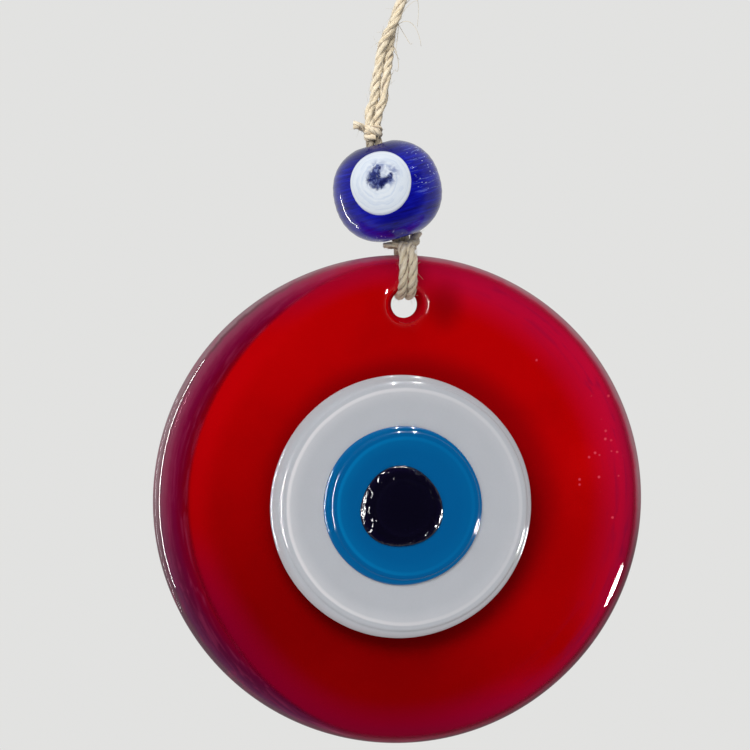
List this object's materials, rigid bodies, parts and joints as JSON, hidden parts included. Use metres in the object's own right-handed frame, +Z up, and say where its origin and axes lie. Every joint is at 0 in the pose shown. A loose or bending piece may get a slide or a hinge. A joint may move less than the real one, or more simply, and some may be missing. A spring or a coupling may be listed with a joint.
{
  "type": "evil eye hanging ornament",
  "caption": "Round layered glass eye disc hanging on doubled natural twine under a cobalt glass bead, with a knotted cord and a loop for a nail.",
  "frame": {"origin": "centre of the glass disc's flat back", "axes": "+Z up towards the hanging loop, +Y out of the disc's back towards the wall, +X to the right of someone facing the eye"},
  "size_m": [0.08, 0.0181, 0.1547],
  "materials": {
    "red_glass": "gloss",
    "white_glass": "gloss",
    "light_blue_glass": "gloss",
    "dark_glass": "gloss",
    "cobalt_glass": "gloss",
    "bead_white_glass": "gloss",
    "swirl_glass": "gloss",
    "natural_twine": "rough",
    "knotted_twine": "rough"
  },
  "bodies": {
    "hanger": {"hang_loop": "natural_twine"},
    "cord_top": {"cord_top_left": "natural_twine", "cord_top_right": "natural_twine"},
    "cord_mid": {"cord_mid_left": "natural_twine", "cord_mid_right": "natural_twine"},
    "bead_cord": {"upper_knot": "knotted_twine", "upper_knot_tail": "natural_twine", "bead_cord_left": "natural_twine", "bead_cord_right": "natural_twine"},
    "bead": {"bead_body": "cobalt_glass", "bead_eye_white": "bead_white_glass", "bead_eye_swirl": "swirl_glass"},
    "rim_loop": {"lower_knot": "knotted_twine", "lower_knot_tail": "natural_twine", "rim_loop_left": "natural_twine", "rim_loop_right": "natural_twine"},
    "disc": {"red_disc": "red_glass", "white_layer": "white_glass", "blue_layer": "light_blue_glass", "pupil": "dark_glass"}
  },
  "joints": [
    {"name": "cord_nod", "type": "hinge", "parent": "hanger", "child": "cord_top", "pos_m": [0.001, -0.0026, 0.094], "axis": [1, 0, 0], "range_deg": [-30, 30]},
    {"name": "cord_sway", "type": "hinge", "parent": "cord_top", "child": "cord_mid", "pos_m": [0.00079, -0.0026, 0.08415], "axis": [0, 1, 0], "range_deg": [-30, 30]},
    {"name": "cord_twist", "type": "hinge", "parent": "cord_mid", "child": "bead_cord", "pos_m": [-0.0043, -0.0026, 0.06165], "axis": [0, 0, 1], "range_deg": [-90, 90]},
    {"name": "bead_spin", "type": "hinge", "parent": "bead_cord", "child": "bead", "pos_m": [-0.002, -0.0026, 0.0504], "axis": [-0.2756, 0, 0.9613], "continuous": true},
    {"name": "disc_tilt", "type": "hinge", "parent": "bead_cord", "child": "rim_loop", "pos_m": [0.0003, -0.0026, 0.04235], "axis": [1, 0, 0], "range_deg": [-15, 15]},
    {"name": "disc_swing", "type": "hinge", "parent": "rim_loop", "child": "disc", "pos_m": [0.001, 0, 0.0319], "axis": [0, 1, 0], "range_deg": [-15, 15]}
  ]
}
